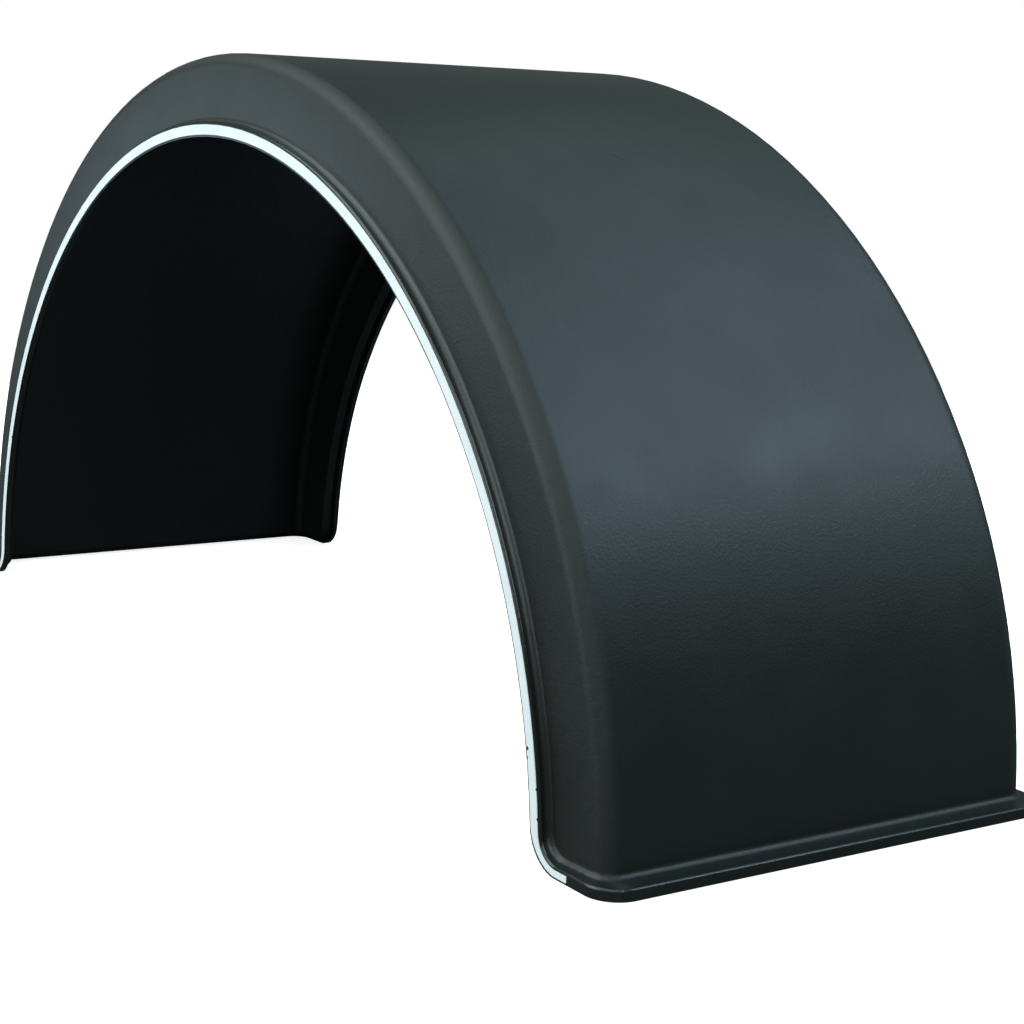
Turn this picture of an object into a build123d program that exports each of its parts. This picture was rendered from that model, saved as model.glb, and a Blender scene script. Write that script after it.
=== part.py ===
from build123d import *
import math
import os

os.makedirs("parts", exist_ok=True)

# Trailer mudguard, millimetres. X runs along the guard from foot to foot, Y across it, Z up.
# The origin is on the ground, in the middle of the guard, which stands on its two feet.
# The striped side wall faces -Y.

# Mouth: the free edge of the rim, seen from the side. One wide arc lies over the wheel, and a
# tighter arc runs on from it down each leg, with a common tangent where they meet.
mouth_height = 278.4
mouth_top_radius = 309.8
leg_tightening = 44.0
top_arc_half_angle = 57.5

# Crown and side walls
wall = 3.0
wall_depth = 40.4
wall_draft = 2.9
crown_width = 225.6
crown_edge_radius = 7.5

# Joggled rim: a shelf steps outwards from the walls, and a flat lip hangs from its outer edge.
# At the feet the rim turns along the ground with a lower lip, and closes the end of the guard.
shelf_width = 4.3
joggle_radius = 3.3
lip_height = 7.2
lip_edge_radius = 1.3
foot_length = 51.5
foot_lip_height = 5.0
foot_corner_radius = 18.3
plan_corner_radius = 14.1

# White stripe on the lip of one side, with a margin to the free edge and to the rounded edge
stripe_thickness = 0.3
stripe_free_margin = 0.45
stripe_top_margin = 0.05
stripe_past_corner = 7.0

# Height on the mouth where the arch, which is revolved, meets the feet
foot_height = 20.0

# The bodies run on below the ground before they are cut off there
below_ground = 20.0

# How far a cutting solid runs past what it cuts
overrun = 20.0

# The largest share of a narrow face that a fillet takes
fillet_share = 0.95

# Two places that are closer than this are the same
same_place = 0.01

# Places that follow from the sizes
arc_turn = math.radians(top_arc_half_angle)
top_centre = Vector(0, 0, mouth_height - mouth_top_radius)
mouth_side_radius = mouth_top_radius - leg_tightening
leg_shift = Vector(math.sin(arc_turn), 0, math.cos(arc_turn)) * leg_tightening
side_centre = top_centre + leg_shift
draft_slope = wall_draft / wall_depth
half_width = crown_width / 2 + wall_draft + shelf_width
seam_rise = math.asin((foot_height - side_centre.Z) / mouth_side_radius)


def foot_reach(growth, level):
    """How far from the middle the arch is at a height, with its radii made larger by growth."""
    return side_centre.X + math.sqrt((mouth_side_radius + growth) ** 2 - (level - side_centre.Z) ** 2)


half_length = foot_reach(0, 0) + foot_length
end_shelf_width = half_length - foot_reach(wall_depth, foot_lip_height)
narrowest_shelf = min(shelf_width, end_shelf_width)
outside_joggle = min(joggle_radius, fillet_share * (narrowest_shelf - lip_edge_radius))
inside_joggle_flat = min((2 - math.sqrt(2)) * (outside_joggle + wall), fillet_share * narrowest_shelf)


def arch_area(growth, level):
    """Area under the arch down to a level, with its radii made larger by growth."""
    top_radius = mouth_top_radius + growth
    side_radius = mouth_side_radius + growth
    foot_turn = math.degrees(math.asin((level - side_centre.Z) / side_radius))
    top_arc = CenterArc((0, top_centre.Z), top_radius, 90 - top_arc_half_angle, 2 * top_arc_half_angle)
    right_arc = CenterArc(
        (side_centre.X, side_centre.Z), side_radius, foot_turn, 90 - top_arc_half_angle - foot_turn
    )
    left_arc = mirror(right_arc, Plane.YZ)
    ground = Line((-foot_reach(growth, level), level), (foot_reach(growth, level), level))
    return make_face(Curve() + [top_arc, right_arc, left_arc, ground])


def mouth_area(growth, rise, half_span, floor):
    """The wheel opening, grown into the moulding, with a strip under the feet that rises less."""
    strip = Pos(0, (rise + floor) / 2) * Rectangle(2 * half_span, rise - floor)
    opening = arch_area(growth, rise) + strip
    inner_corners = opening.vertices().filter_by(
        lambda v: abs(v.Y - rise) < same_place and abs(v.X) < half_span - same_place
    )
    return fillet(inner_corners, foot_corner_radius - growth)


def across(area, width):
    """Extrude an area drawn in the side view across the guard, centred on its middle."""
    return extrude(Plane.XZ * area, width / 2, both=True)


def round_corner(before, corner, after, radius):
    """Exact arc that rounds a corner, as a Bezier curve, whose swept faces need few facets."""
    to_before = (before - corner).normalized()
    to_after = (after - corner).normalized()
    half_turn = math.radians(180 - to_before.get_angle(to_after)) / 2
    reach = radius * math.tan(half_turn)
    return Bezier(
        corner + to_before * reach, corner, corner + to_after * reach, weights=[1, math.cos(half_turn), 1]
    )


def flat_corner(before, corner, after, length):
    """Straight line that cuts off a corner, the same length along both sides."""
    return Line(
        corner + (before - corner).normalized() * length, corner + (after - corner).normalized() * length
    )


def shaped_path(corners):
    """Path through corners, each given with the curve that shapes it and a size, or with none."""
    places = [Vector(*corner[0]) for corner in corners]
    path = []
    start = places[0]
    for index in range(1, len(corners) - 1):
        shape = corners[index][1:]
        end = places[index]
        if shape:
            curve = shape[0](places[index - 1], places[index], places[index + 1], shape[1])
            path += [Line(start, curve @ 0), curve]
            start = curve @ 1
        else:
            path.append(Line(start, end))
            start = end
    return path + [Line(start, places[-1])]


def arch_outline(radius, inset, lip_corner, joggle_corner):
    """Area inside the moulding's outline: lip, shelf, joggle, side walls and crown."""
    slant = math.sqrt(1 + draft_slope**2)
    top = radius + wall_depth - inset
    shelf = radius + lip_height - inset
    crown_half = crown_width / 2 + draft_slope * inset - inset * slant
    wall_foot = crown_half + draft_slope * (top - shelf)
    half = shaped_path(
        [
            ((0, radius),),
            ((half_width - inset, radius),),
            ((half_width - inset, shelf), *lip_corner),
            ((wall_foot, shelf), *joggle_corner),
            ((crown_half, top), round_corner, crown_edge_radius - inset),
            ((0, top),),
        ]
    )
    return make_face(Curve() + half + mirror(half, Plane.YZ))


def arch_section(radius):
    """Cross-section of the moulding where it follows an arc of the mouth."""
    outside = arch_outline(radius, 0, (round_corner, lip_edge_radius), (round_corner, outside_joggle))
    return outside - arch_outline(radius, wall, (), (flat_corner, inside_joggle_flat))


def hull_section(radius, inset):
    """Cross-section of the crown and its drafted side walls, drawn about the arc's own centre."""
    slant = math.sqrt(1 + draft_slope**2)
    top = radius + wall_depth - inset
    bottom = radius - overrun
    crown_half = crown_width / 2 + draft_slope * inset - inset * slant
    mouth_half = crown_half + draft_slope * (top - bottom)
    outline = Polyline(
        (-mouth_half, bottom), (-crown_half, top), (crown_half, top), (mouth_half, bottom), close=True
    )
    section = make_face(outline)
    return fillet(section.vertices().group_by(Axis.Y)[-1], crown_edge_radius - inset)


def hull(inset):
    """Ring of solid under the crown: the top arc, and a tighter arc that runs on down each leg."""
    past_level = math.asin((side_centre.Z + below_ground) / (mouth_side_radius - overrun))
    leg_turn = 90 - top_arc_half_angle + math.degrees(past_level)
    top_start = Pos(*top_centre) * (Plane.YZ * hull_section(mouth_top_radius, inset))
    top_half = revolve(top_start, Axis(top_centre, (0, 1, 0)), top_arc_half_angle)
    leg_start = Rot(0, top_arc_half_angle, 0) * (Plane.YZ * hull_section(mouth_side_radius, inset))
    leg = revolve(Pos(*side_centre) * leg_start, Axis(side_centre, (0, 1, 0)), leg_turn)
    half = top_half + leg
    return half + mirror(half, Plane.YZ)


def flange(inset, edge_radius):
    """Solid inside the rim's shelf and lip, which follows the whole mouth and both feet."""
    half_span = half_length - inset
    floor = -below_ground - overrun
    opening = mouth_area(lip_height - inset, foot_lip_height - inset, half_span, floor)
    block = across(opening, 2 * (half_width - inset))
    block = fillet(block.edges().filter_by(Axis.Z), plan_corner_radius - inset)
    if edge_radius:
        rim_top = block.edges().filter_by(Axis.Z, reverse=True).filter_by(
            lambda edge: edge.center().Z > 0
            and (
                abs(edge.center().Y) > half_width - plan_corner_radius
                or abs(edge.center().X) > half_span - plan_corner_radius
            )
        )
        block = fillet(rim_top, edge_radius)
    return block


def joggle_edges(hull_solid, flange_solid):
    """Join the hull to the flange, and find the edges of the angle where the shelf leaves the walls."""
    body = hull_solid + flange_solid
    angle_edges = new_edges(hull_solid, flange_solid, combined=body)
    return angle_edges.filter_by(lambda edge: edge.center().Z > 0)


def foot_space():
    """The space of both feet, below the lines that part them from the arch."""
    far = half_length + overrun
    seam_end = side_centre.Z + (far - side_centre.X) * math.tan(seam_rise)
    floor = -below_ground - 2 * overrun
    near = (side_centre.X, side_centre.Z)
    space = Polyline(near, (far, seam_end), (far, floor), (side_centre.X, floor), close=True)
    front = across(make_face(space), 2 * (half_width + overrun))
    return front + mirror(front, Plane.YZ)


def arch():
    """The moulding above the feet, revolved from its whole section."""
    top_section = Pos(*top_centre) * (Plane.YZ * arch_section(mouth_top_radius))
    top_half = revolve(top_section, Axis(top_centre, (0, 1, 0)), top_arc_half_angle)
    leg_section = Rot(0, top_arc_half_angle, 0) * (Plane.YZ * arch_section(mouth_side_radius))
    leg_turn = 90 - top_arc_half_angle - math.degrees(seam_rise)
    leg = revolve(Pos(*side_centre) * leg_section, Axis(side_centre, (0, 1, 0)), leg_turn)
    half = top_half + leg
    return half + mirror(half, Plane.YZ)


def feet():
    """Both ends: an outer body, less the same body one wall thickness in, less the mouth."""
    outside = fillet(joggle_edges(hull(0), flange(0, lip_edge_radius)), outside_joggle)
    inside = chamfer(joggle_edges(hull(wall), flange(wall, 0)), inside_joggle_flat)
    cut_floor = -below_ground - 2 * overrun
    mouth = across(mouth_area(0, 0, half_length + overrun, cut_floor), 2 * (half_width + overrun))
    return (outside - inside - mouth) & foot_space()


def edge_stripe():
    """Thin strip on the outer face of one lip, which ends square just round the corner of each foot."""
    under_edge = lip_edge_radius + stripe_top_margin
    half_span = foot_reach(0, 0) + foot_corner_radius + stripe_past_corner
    band = mouth_area(lip_height - under_edge, foot_lip_height - under_edge, half_span, 0)
    band -= mouth_area(stripe_free_margin, stripe_free_margin, half_span + overrun, -overrun)
    strip = extrude(Plane.XZ * band, stripe_thickness)
    return Pos(0, -half_width, 0) * strip


export_step((arch() + feet()).fix(), "parts/mudguard_shell.step")
export_step(edge_stripe(), "parts/edge_stripe.step")
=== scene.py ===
"""Looks of a trailer mudguard: a black moulding with a white stripe along one rim, in a white studio."""

import logging
import math
from dataclasses import dataclass
from enum import Enum

import bmesh
import bpy
from bpy.types import GeometryNodeTree, Material, Node, NodeSocket, NodeTree, Object
from mathutils import Matrix, Vector

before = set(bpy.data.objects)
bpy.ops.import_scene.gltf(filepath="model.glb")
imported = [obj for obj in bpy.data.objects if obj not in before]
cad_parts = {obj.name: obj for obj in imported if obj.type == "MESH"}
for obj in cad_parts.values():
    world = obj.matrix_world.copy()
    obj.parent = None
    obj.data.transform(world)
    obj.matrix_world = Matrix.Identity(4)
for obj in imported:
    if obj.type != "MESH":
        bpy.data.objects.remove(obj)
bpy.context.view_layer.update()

LOG = logging.getLogger("mudguard")
MM = 0.001
IMAGE_SIDE_PX = 1024
SENSOR_MM = 36.0
WHITE = "#ffffff"

# Blender's names for the kinds of node that are used most
MATH = "ShaderNodeMath"
VECTOR_MATH = "ShaderNodeVectorMath"
MAP_RANGE = "ShaderNodeMapRange"
MIX = "ShaderNodeMix"


class Solid(Enum):
    """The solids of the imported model."""

    SHELL = "mudguard_shell"
    STRIPE = "edge_stripe"


def linear(hex_colour: str) -> tuple[float, float, float, float]:
    """Turn an sRGB hex colour into the linear colour that Blender's sockets take.

    Args:
        hex_colour: The colour as "#rrggbb".

    Returns:
        Red, green, blue and an alpha of one.
    """
    parts = [int(hex_colour[i : i + 2], 16) / 255 for i in (1, 3, 5)]
    red, green, blue = (p / 12.92 if p <= 0.04045 else ((p + 0.055) / 1.055) ** 2.4 for p in parts)
    return red, green, blue, 1.0


def direction(azimuth: float, elevation: float) -> Vector:
    """Point from the object towards a place round it.

    Args:
        azimuth: Degrees round the object. At 0 the place is on the -Y side, and at 90 on the +X side.
        elevation: Degrees above the floor.

    Returns:
        A vector of length one.
    """
    turn, lift = math.radians(azimuth), math.radians(elevation)
    return Vector((math.sin(turn) * math.cos(lift), -math.cos(turn) * math.cos(lift), math.sin(lift)))


def add_node(tree: NodeTree, kind: str, inputs: dict | None = None, **settings) -> Node:
    """Add one node to a tree, with its settings and its links.

    Args:
        tree: The node tree that takes the node.
        kind: Blender's name for the kind of node.
        inputs: For each input's name or number, its value, the socket that feeds it, or the node that does,
            by its first output in use.
        **settings: The node's own properties, such as operation.

    Returns:
        The new node.
    """
    node = tree.nodes.new(kind)
    for name, value in settings.items():
        setattr(node, name, value)
    for name, value in (inputs or {}).items():
        if isinstance(value, Node):
            value = next(output for output in value.outputs if output.enabled)
        if isinstance(value, NodeSocket):
            tree.links.new(value, node.inputs[name])
        else:
            node.inputs[name].default_value = value
    return node


def distance_to(tree: NodeTree, place: Node | NodeSocket, x: float, y: float, z: float) -> Node:
    """Measure how far a shaded place is from a fixed one.

    Args:
        tree: The node tree that takes the node.
        place: The shaded place's coordinates in metres.
        x: The fixed place's X in millimetres.
        y: Its Y.
        z: Its Z.

    Returns:
        The node that gives the distance in metres.
    """
    return add_node(tree, VECTOR_MATH, {0: place, 1: (x * MM, y * MM, z * MM)}, operation="DISTANCE")


def camera_or_object(tree: NodeTree, to_camera: Node, to_object: Node) -> Node:
    """Show one shader to the camera and another to the object.

    Args:
        tree: The node tree that takes the nodes.
        to_camera: The shader that the camera sees.
        to_object: The shader that lights the object.

    Returns:
        The node that gives both.
    """
    seen = add_node(tree, "ShaderNodeLightPath").outputs["Is Camera Ray"]
    return add_node(tree, "ShaderNodeMixShader", {0: seen, 1: to_object, 2: to_camera})


def empty_material(name: str) -> Material:
    """Make a material that has no nodes yet.

    Args:
        name: The material's name.

    Returns:
        The material.
    """
    made = bpy.data.materials.new(name)
    made.use_nodes = True
    made.node_tree.nodes.clear()
    return made


@dataclass(frozen=True)
class Noise:
    """A soft random pattern, with its size in real millimetres."""

    size_mm: float
    detail: float
    roughness: float = 0.5

    def draw(self, tree: NodeTree, place: NodeSocket) -> Node:
        """Draw the pattern.

        Args:
            tree: The material's node tree.
            place: The object's own coordinates in metres.

        Returns:
            A node that gives values between zero and one.
        """
        scale = 1 / (self.size_mm * MM)
        pattern = {"Vector": place, "Scale": scale, "Detail": self.detail, "Roughness": self.roughness}
        return add_node(tree, "ShaderNodeTexNoise", pattern)


@dataclass(frozen=True)
class Scuff:
    """A short curved scuff on the crown, which is a piece of a thin ring."""

    centre_mm: tuple[float, float, float] = (177.4, -4.0, 270.6)
    radius_mm: float = 12.4
    half_width_mm: float = 0.9
    start_mm: tuple[float, float, float] = (169.5, 4.5, 275.0)
    reach_mm: float = 9.0
    colour: str = "#0b0d0c"
    roughness: float = 0.62

    def mask(self, tree: NodeTree, place: NodeSocket) -> Node:
        """Mask the scuff, which is strongest at its start.

        Args:
            tree: The material's node tree.
            place: The object's own coordinates in metres.

        Returns:
            A node that gives values between zero and one.
        """
        ring = {0: distance_to(tree, place, *self.centre_mm), 1: self.radius_mm * MM}
        off = add_node(tree, MATH, {0: add_node(tree, MATH, ring, operation="SUBTRACT")}, operation="ABSOLUTE")
        across = add_node(tree, MATH, {0: off, 1: self.half_width_mm * MM}, operation="DIVIDE")
        run = {0: distance_to(tree, place, *self.start_mm), 1: self.reach_mm * MM}
        along = add_node(tree, MATH, run, operation="DIVIDE")
        line, fade = (
            add_node(tree, MAP_RANGE, {"Value": share, "To Min": 1.0, "To Max": 0.0})
            for share in (across, along)
        )
        return add_node(tree, MATH, {0: line, 1: fade}, operation="MULTIPLY")


@dataclass(frozen=True)
class MouthEdge:
    """The rim's free edge from the side: a wide arc, a tighter one down each leg, and a round foot corner."""

    # These are the moulding's own sizes: each arc's centre and radius, where they meet, and the corner.
    top_z_mm: float = -31.4
    top_radius_mm: float = 309.8
    side_x_mm: float = 37.109
    side_z_mm: float = -7.759
    side_radius_mm: float = 265.8
    half_angle: float = 57.5
    corner_mm: float = 18.3

    def arch(self, tree: NodeTree, side_view: Node) -> Node:
        """Measure how far a place is outside the arch.

        Args:
            tree: The material's node tree.
            side_view: The place in the side view, turned onto the +X half.

        Returns:
            The node that gives the distance in metres.
        """
        from_top = distance_to(tree, side_view, 0, 0, self.top_z_mm)
        from_side = distance_to(tree, side_view, self.side_x_mm, 0, self.side_z_mm)
        top = add_node(tree, MATH, {0: from_top, 1: self.top_radius_mm * MM}, operation="SUBTRACT")
        side = add_node(tree, MATH, {0: from_side, 1: self.side_radius_mm * MM}, operation="SUBTRACT")
        top_centre = (0, 0, self.top_z_mm * MM)
        spoke = add_node(tree, VECTOR_MATH, {0: side_view, 1: top_centre}, operation="SUBTRACT")
        turn = math.radians(self.half_angle)
        down_leg = (math.cos(turn), 0, -math.sin(turn))
        past = add_node(tree, VECTOR_MATH, {0: spoke, 1: down_leg}, operation="DOT_PRODUCT")
        on_leg = add_node(tree, MATH, {0: past, 1: 0}, operation="GREATER_THAN")
        return add_node(tree, MIX, {"Factor": on_leg, "A": top, "B": side})

    def distance(self, tree: NodeTree, place: NodeSocket) -> Node:
        """Measure how far a shaded place of the rim is from the free edge.

        Args:
            tree: The material's node tree.
            place: The object's own coordinates in metres.

        Returns:
            The node that gives the distance in metres.
        """
        axes = add_node(tree, "ShaderNodeSeparateXYZ", {0: place})
        across = add_node(tree, MATH, {0: axes.outputs["X"]}, operation="ABSOLUTE")
        side_view = add_node(tree, "ShaderNodeCombineXYZ", {"X": across, "Z": axes.outputs["Z"]})
        corner = self.corner_mm * MM
        reach = {}
        for axis, off in (("X", self.arch(tree, side_view)), ("Y", axes.outputs["Z"])):
            inside = add_node(tree, MATH, {0: corner, 1: off}, operation="SUBTRACT")
            reach[axis] = add_node(tree, MATH, {0: inside, 1: 0}, operation="MAXIMUM")
        spoke = add_node(tree, "ShaderNodeCombineXYZ", reach)
        length = add_node(tree, VECTOR_MATH, {0: spoke}, operation="LENGTH")
        return add_node(tree, MATH, {0: corner, 1: length}, operation="SUBTRACT")


@dataclass(frozen=True)
class BlackPolyethylene:
    """Vacuum-formed black polyethylene sheet, with a fine grain that leaves soft, wide highlights."""

    slot: str = "black_moulding"
    colour: str = "#0e110f"
    mottle_colour: str = "#131613"
    mottle: Noise = Noise(34.0, 3.0, 0.55)
    # The roughness spreads over this part of the mottle's range.
    mottle_range: tuple[float, float] = (0.3, 0.7)
    ior: float = 1.51
    roughness: float = 0.38
    roughness_spread: float = 0.035
    # The rim was pressed against the mould's polished edge. It begins this far from the middle planes.
    rim_roughness: float = 0.17
    rim_y_mm: float = 118.4
    rim_x_mm: float = 352.8
    # The sheet is drawn thin and dull where it bends from the crown to the side walls.
    bend_roughness: float = 0.64
    bend_y_mm: float = 109.6
    bend_half_width_mm: float = 6.0
    # The real grain is about 0.3 mm and too fine to show, so it is drawn near the size of a pixel.
    grain: Noise = Noise(1.2, 2.0, 0.6)
    grain_depth_mm: float = 0.1
    scuff: Scuff = Scuff()

    def rim(self, tree: NodeTree, place: NodeSocket) -> Node:
        """Mask the outer faces of the rim, along both sides and both feet.

        Args:
            tree: The material's node tree.
            place: The object's own coordinates in metres.

        Returns:
            A node that gives one on the rim, and zero elsewhere.
        """
        axes = add_node(tree, "ShaderNodeSeparateXYZ", {0: place})
        past = []
        for axis, start in (("X", self.rim_x_mm), ("Y", self.rim_y_mm)):
            outwards = add_node(tree, MATH, {0: axes.outputs[axis]}, operation="ABSOLUTE")
            past.append(add_node(tree, MATH, {0: outwards, 1: start * MM}, operation="GREATER_THAN"))
        return add_node(tree, MATH, dict(enumerate(past)), operation="MAXIMUM")

    def bend(self, tree: NodeTree, place: NodeSocket) -> Node:
        """Mask the bends between the crown and the side walls, with soft borders.

        Args:
            tree: The material's node tree.
            place: The object's own coordinates in metres.

        Returns:
            A node that gives one in the middle of the bends, and zero elsewhere.
        """
        axes = add_node(tree, "ShaderNodeSeparateXYZ", {0: place})
        outwards = add_node(tree, MATH, {0: axes.outputs["Y"]}, operation="ABSOLUTE")
        off = add_node(tree, MATH, {0: outwards, 1: self.bend_y_mm * MM}, operation="SUBTRACT")
        away = add_node(tree, MATH, {0: off}, operation="ABSOLUTE")
        border = {"Value": away, "From Max": self.bend_half_width_mm * MM, "To Min": 1.0, "To Max": 0.0}
        return add_node(tree, MAP_RANGE, border, interpolation_type="SMOOTHSTEP")

    def material(self) -> Material:
        """Build the material's nodes.

        Returns:
            The finished material.
        """
        made = empty_material(self.slot)
        tree = made.node_tree
        place = add_node(tree, "ShaderNodeTexCoord").outputs["Object"]
        mottle = self.mottle.draw(tree, place)
        scuffed = self.scuff.mask(tree, place)

        blacks = {"Factor": mottle, "A": linear(self.colour), "B": linear(self.mottle_colour)}
        clean = add_node(tree, MIX, blacks, data_type="RGBA")
        marks = {"Factor": scuffed, "A": clean, "B": linear(self.scuff.colour)}
        colour = add_node(tree, MIX, marks, data_type="RGBA")

        spread = {
            "Value": mottle,
            "From Min": self.mottle_range[0],
            "From Max": self.mottle_range[1],
            "To Min": self.roughness - self.roughness_spread,
            "To Max": self.roughness + self.roughness_spread,
        }
        roughness = add_node(tree, MAP_RANGE, spread)
        for mask, value in (
            (self.bend(tree, place), self.bend_roughness),
            (self.rim(tree, place), self.rim_roughness),
            (scuffed, self.scuff.roughness),
        ):
            roughness = add_node(tree, MIX, {"Factor": mask, "A": roughness, "B": value})

        grain = self.grain.draw(tree, place)
        relief = {"Height": grain, "Strength": 1.0, "Distance": self.grain_depth_mm * MM}
        normal = add_node(tree, "ShaderNodeBump", relief)
        surface = {"Base Color": colour, "Roughness": roughness, "IOR": self.ior, "Normal": normal}
        shader = add_node(tree, "ShaderNodeBsdfPrincipled", surface)
        add_node(tree, "ShaderNodeOutputMaterial", {"Surface": shader})
        return made


@dataclass(frozen=True)
class WhiteVinyl:
    """White vinyl strip, pressed onto the rim, with a dark cut edge, small nicks and faint cool patches."""

    slot: str = "white_stripe"
    colour: str = "#fcfdfd"
    patch_colour: str = "#f3f6f8"
    patches: Noise = Noise(26.0, 2.0)
    # The patches' colour comes in over this part of the pattern's range.
    patch_range: tuple[float, float] = (0.45, 0.7)
    dark: str = "#141718"
    ior: float = 1.53
    roughness: float = 0.34
    patch_roughness: float = 0.4
    # The strip's white begins this far from the rim's free edge.
    edge_mm: float = 0.95
    mouth: MouthEdge = MouthEdge()
    # Nicks, each with its X, its Z and its radius
    nicks_mm: tuple[tuple[float, float, float], ...] = (
        (225.6, 191.0, 0.9),
        (242.4, 161.4, 0.7),
        (-284.7, 92.1, 0.9),
        (298.9, 47.1, 0.8),
        (298.6, 43.3, 0.9),
        (306.0, 32.2, 0.6),
        (307.6, 20.4, 0.7),
    )
    face_y_mm: float = -120.3

    def bare(self, tree: NodeTree, place: NodeSocket) -> Node:
        """Mask the places where the white is missing: the cut edge and the nicks.

        Args:
            tree: The material's node tree.
            place: The object's own coordinates in metres.

        Returns:
            A node that gives one where the strip is dark, and zero elsewhere.
        """
        from_edge = self.mouth.distance(tree, place)
        missing = add_node(tree, MATH, {0: from_edge, 1: self.edge_mm * MM}, operation="LESS_THAN")
        for x, z, radius in self.nicks_mm:
            off = distance_to(tree, place, x, self.face_y_mm, z)
            nick = add_node(tree, MATH, {0: off, 1: radius * MM}, operation="LESS_THAN")
            missing = add_node(tree, MATH, {0: missing, 1: nick}, operation="MAXIMUM")
        return missing

    def material(self) -> Material:
        """Build the material's nodes.

        Returns:
            The finished material.
        """
        made = empty_material(self.slot)
        tree = made.node_tree
        place = add_node(tree, "ShaderNodeTexCoord").outputs["Object"]
        start, end = self.patch_range
        pattern = {"Value": self.patches.draw(tree, place), "From Min": start, "From Max": end}
        patch = add_node(tree, MAP_RANGE, pattern)
        whites = {"Factor": patch, "A": linear(self.colour), "B": linear(self.patch_colour)}
        white = add_node(tree, MIX, whites, data_type="RGBA")
        marks = {"Factor": self.bare(tree, place), "A": white, "B": linear(self.dark)}
        colour = add_node(tree, MIX, marks, data_type="RGBA")
        roughness = add_node(tree, MIX, {"Factor": patch, "A": self.roughness, "B": self.patch_roughness})
        surface = {"Base Color": colour, "Roughness": roughness, "IOR": self.ior}
        shader = add_node(tree, "ShaderNodeBsdfPrincipled", surface)
        add_node(tree, "ShaderNodeOutputMaterial", {"Surface": shader})
        return made


@dataclass(frozen=True)
class SmoothShading:
    """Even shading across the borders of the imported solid's faces, with its sharp edges kept."""

    merge_mm: float = 0.02
    sharp_angle: float = 32.0
    weight: int = 50

    def tree(self) -> GeometryNodeTree:
        """Build the nodes that join the faces' borders and mark the sharp edges.

        Returns:
            The node tree for a geometry nodes modifier.
        """
        tree = bpy.data.node_groups.new("joined_borders", "GeometryNodeTree")
        for end in ("INPUT", "OUTPUT"):
            tree.interface.new_socket("Geometry", in_out=end, socket_type="NodeSocketGeometry")
        packed = add_node(tree, "NodeGroupInput").outputs["Geometry"]
        reach = {"Geometry": packed, "Distance": self.merge_mm * MM}
        merged = add_node(tree, "GeometryNodeMergeByDistance", reach)
        angle = add_node(tree, "GeometryNodeInputMeshEdgeAngle").outputs["Unsigned Angle"]
        limits = {"A": angle, "B": math.radians(self.sharp_angle)}
        sharp = add_node(tree, "FunctionNodeCompare", limits, operation="GREATER_THAN", data_type="FLOAT")
        edges = {"Mesh": merged, "Remove Custom": True, "Edge Sharpness": sharp}
        shaded = add_node(tree, "GeometryNodeSetMeshNormal", edges, mode="SHARPNESS")
        add_node(tree, "NodeGroupOutput", {"Geometry": shaded})
        return tree

    def apply_to(self, piece: Object) -> None:
        """Give a piece the modifiers that shade it.

        Args:
            piece: The piece's object.
        """
        joined = piece.modifiers.new("joined_borders", "NODES")
        joined.node_group = self.tree()
        weighted = piece.modifiers.new("weighted_normals", "WEIGHTED_NORMAL")
        weighted.mode = "FACE_AREA_WITH_ANGLE"
        weighted.weight = self.weight
        weighted.keep_sharp = True


@dataclass(frozen=True)
class Mudguard:
    """The moulding and its stripe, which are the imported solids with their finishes."""

    plastic: BlackPolyethylene = BlackPolyethylene()
    vinyl: WhiteVinyl = WhiteVinyl()
    shading: SmoothShading = SmoothShading()

    def dress(self, solid: Solid, finish: BlackPolyethylene | WhiteVinyl) -> Object:
        """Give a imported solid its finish.

        Args:
            solid: Which solid.
            finish: The finish that its material is built from.

        Returns:
            The solid's object.
        """
        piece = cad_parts[solid.value]
        piece.material_slots[0].material = finish.material()
        self.shading.apply_to(piece)
        return piece

    def build(self) -> list[Object]:
        """Dress both solids, and return their objects."""
        return [self.dress(Solid.SHELL, self.plastic), self.dress(Solid.STRIPE, self.vinyl)]


@dataclass(frozen=True)
class SoftBox:
    """One square soft box, which faces the middle of the object."""

    name: str
    azimuth: float
    elevation: float
    watts: float
    colour: str
    side_m: float = 0.8
    distance_m: float = 2.4
    aim_m: tuple[float, float, float] = (0.0, 0.0, 0.15)

    def hang(self) -> Object:
        """Hang the box.

        Returns:
            The lamp's object.
        """
        lamp = bpy.data.lights.new(self.name, "AREA")
        lamp.shape = "SQUARE"
        lamp.size = self.side_m
        lamp.energy = self.watts
        lamp.color = linear(self.colour)[:3]
        box = bpy.data.objects.new(self.name, lamp)
        bpy.context.scene.collection.objects.link(box)
        towards = direction(self.azimuth, self.elevation)
        box.location = Vector(self.aim_m) + towards * self.distance_m
        box.rotation_mode = "QUATERNION"
        box.rotation_quaternion = towards.to_track_quat("Z", "Y")
        return box


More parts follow.
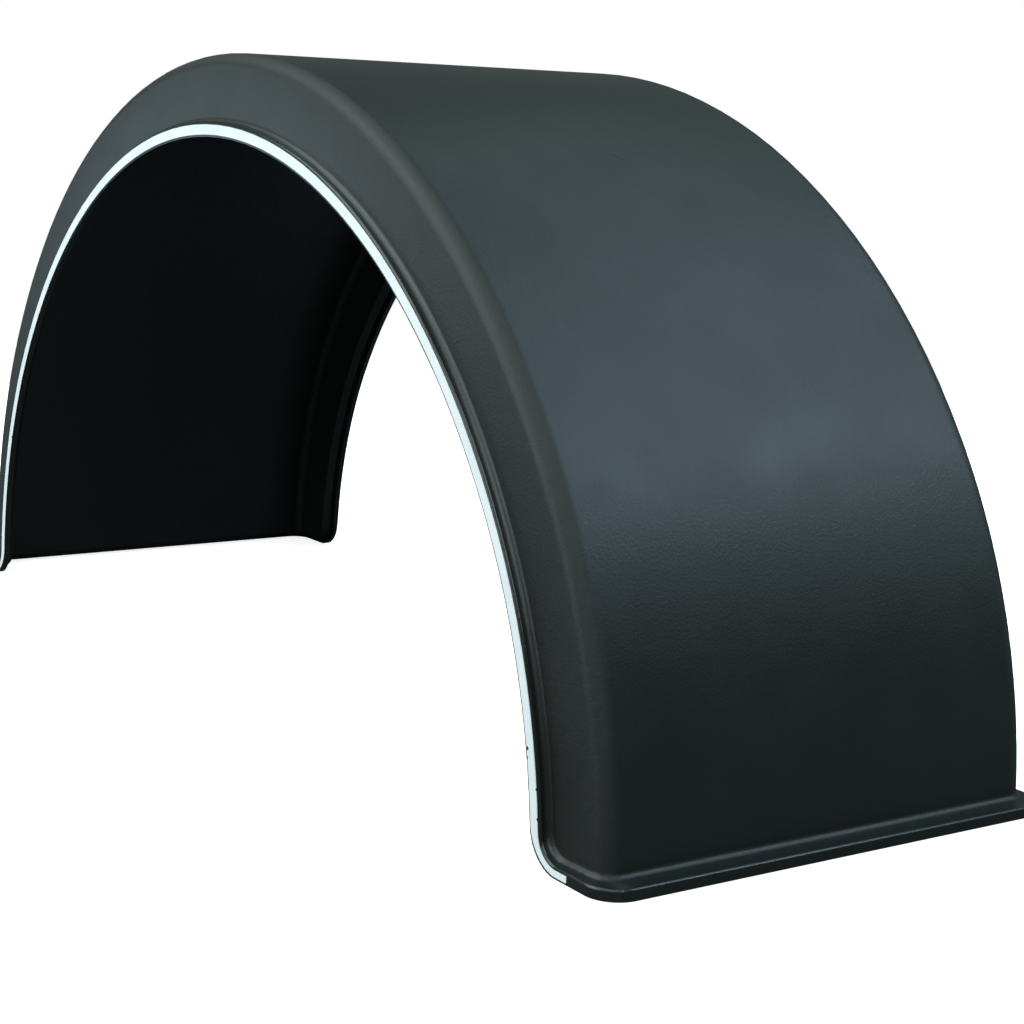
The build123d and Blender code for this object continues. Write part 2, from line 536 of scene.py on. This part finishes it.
@dataclass(frozen=True)
class Studio:
    """The white floor, the backdrop and the soft lamps."""

    floor_side_m: float = 2.6
    floor_drop_mm: float = 0.4
    floor_glow: float = 0.85
    # What the object gets back from the floor, as against the white that the camera sees
    floor_to_object: str = "#707070"
    ambient: float = 0.17
    ambient_colour: str = "#e4fffa"
    # The first three light the object from the front, and the others lie where its crown mirrors them.
    boxes: tuple[SoftBox, ...] = (
        SoftBox("wide_front_box", 345, 25, 38, "#f2fcff", 2.2),
        SoftBox("high_front_box", 320, 60, 32, "#e8fcff", 2.0),
        SoftBox("right_front_box", 60, 45, 34, "#e8fcff", 2.0),
        SoftBox("wide_back_box", 150, 35, 8.6, "#caf0ff", 1.8),
        SoftBox("low_left_box", 300, 6, 2.8, "#d2f0ff"),
        SoftBox("right_box", 120, 38, 4.6, "#c4e6ff"),
        SoftBox("small_right_box", 138, 36, 3.2, "#d4e8ff", 0.25),
        SoftBox("high_right_box", 150, 54, 3.4, "#cde6ff"),
        SoftBox("high_back_box", 180, 54, 2.1, "#cae8ff"),
        SoftBox("high_left_box", 210, 54, 1.4, "#d0f5ff"),
    )

    def floor_material(self) -> Material:
        """Build the floor's material, which looks white and keeps the darkest of the object's shadow.

        Returns:
            The finished material.
        """
        made = empty_material("studio_floor")
        tree = made.node_tree
        paint = add_node(tree, "ShaderNodeBsdfDiffuse", {"Color": linear(WHITE)})
        glow = add_node(tree, "ShaderNodeEmission", {"Color": linear(WHITE), "Strength": self.floor_glow})
        lit = add_node(tree, "ShaderNodeAddShader", {0: paint, 1: glow})
        dim = add_node(tree, "ShaderNodeBsdfDiffuse", {"Color": linear(self.floor_to_object)})
        add_node(tree, "ShaderNodeOutputMaterial", {"Surface": camera_or_object(tree, lit, dim)})
        return made

    def floor(self) -> Object:
        """Lay the floor.

        Returns:
            The floor's object.
        """
        sheet = bmesh.new()
        bmesh.ops.create_grid(sheet, x_segments=1, y_segments=1, size=self.floor_side_m / 2)
        bmesh.ops.translate(sheet, verts=sheet.verts, vec=Vector((0, 0, -self.floor_drop_mm * MM)))
        mesh = bpy.data.meshes.new("studio_floor")
        sheet.to_mesh(mesh)
        sheet.free()
        mesh.materials.append(self.floor_material())
        ground = bpy.data.objects.new("studio_floor", mesh)
        bpy.context.scene.collection.objects.link(ground)
        return ground

    def backdrop(self) -> None:
        """Make the world white to the camera, and dark to the object."""
        world = bpy.data.worlds.new("studio")
        bpy.context.scene.world = world
        world.use_nodes = True
        tree = world.node_tree
        tree.nodes.clear()
        white = add_node(tree, "ShaderNodeBackground", {"Color": linear(WHITE), "Strength": 1.0})
        glow = {"Color": linear(self.ambient_colour), "Strength": self.ambient}
        soft = add_node(tree, "ShaderNodeBackground", glow)
        add_node(tree, "ShaderNodeOutputWorld", {"Surface": camera_or_object(tree, white, soft)})

    def build(self) -> list[Object]:
        """Build the floor, the backdrop and the lamps, and return the floor's and the lamps' objects."""
        self.backdrop()
        return [self.floor(), *(box.hang() for box in self.boxes)]


@dataclass(frozen=True)
class StudioCamera:
    """The camera, at the photograph's place and angle."""

    place_m: tuple[float, float, float] = (0.93209, -0.54952, 0.27557)
    azimuth: float = 56.8918
    elevation: float = 11.3450
    roll: float = 1.7719
    focal_px: float = 2031.6
    centre_px: tuple[float, float] = (498.33, 559.30)

    def build(self) -> list[Object]:
        """Set up the camera and make it the scene's own.

        Returns:
            The camera's object.
        """
        back = direction(self.azimuth, self.elevation)
        level = (-back).cross(Vector((0, 0, 1))).normalized()
        upright = level.cross(-back)
        turn = math.radians(self.roll)
        right = level * math.cos(turn) + upright * math.sin(turn)
        top = upright * math.cos(turn) - level * math.sin(turn)
        data = bpy.data.cameras.new("studio_camera")
        data.sensor_width = SENSOR_MM
        data.lens = self.focal_px / IMAGE_SIDE_PX * SENSOR_MM
        data.shift_x = (IMAGE_SIDE_PX / 2 - self.centre_px[0]) / IMAGE_SIDE_PX
        data.shift_y = (self.centre_px[1] - IMAGE_SIDE_PX / 2) / IMAGE_SIDE_PX
        camera = bpy.data.objects.new("studio_camera", data)
        bpy.context.scene.collection.objects.link(camera)
        turned = Matrix((right, top, back)).transposed().to_4x4()
        camera.matrix_world = Matrix.Translation(self.place_m) @ turned
        bpy.context.scene.camera = camera
        return [camera]


def main() -> None:
    """Build the object, the studio and the camera."""
    logging.basicConfig(level=logging.INFO, format="%(message)s")
    bpy.context.scene.view_settings.view_transform = "Standard"
    for part in (Mudguard(), Studio(), StudioCamera()):
        for piece in part.build():
            LOG.info("%s: built %s", type(part).__name__, piece.name)
    bpy.context.view_layer.update()


if __name__ == "__main__":
    main()
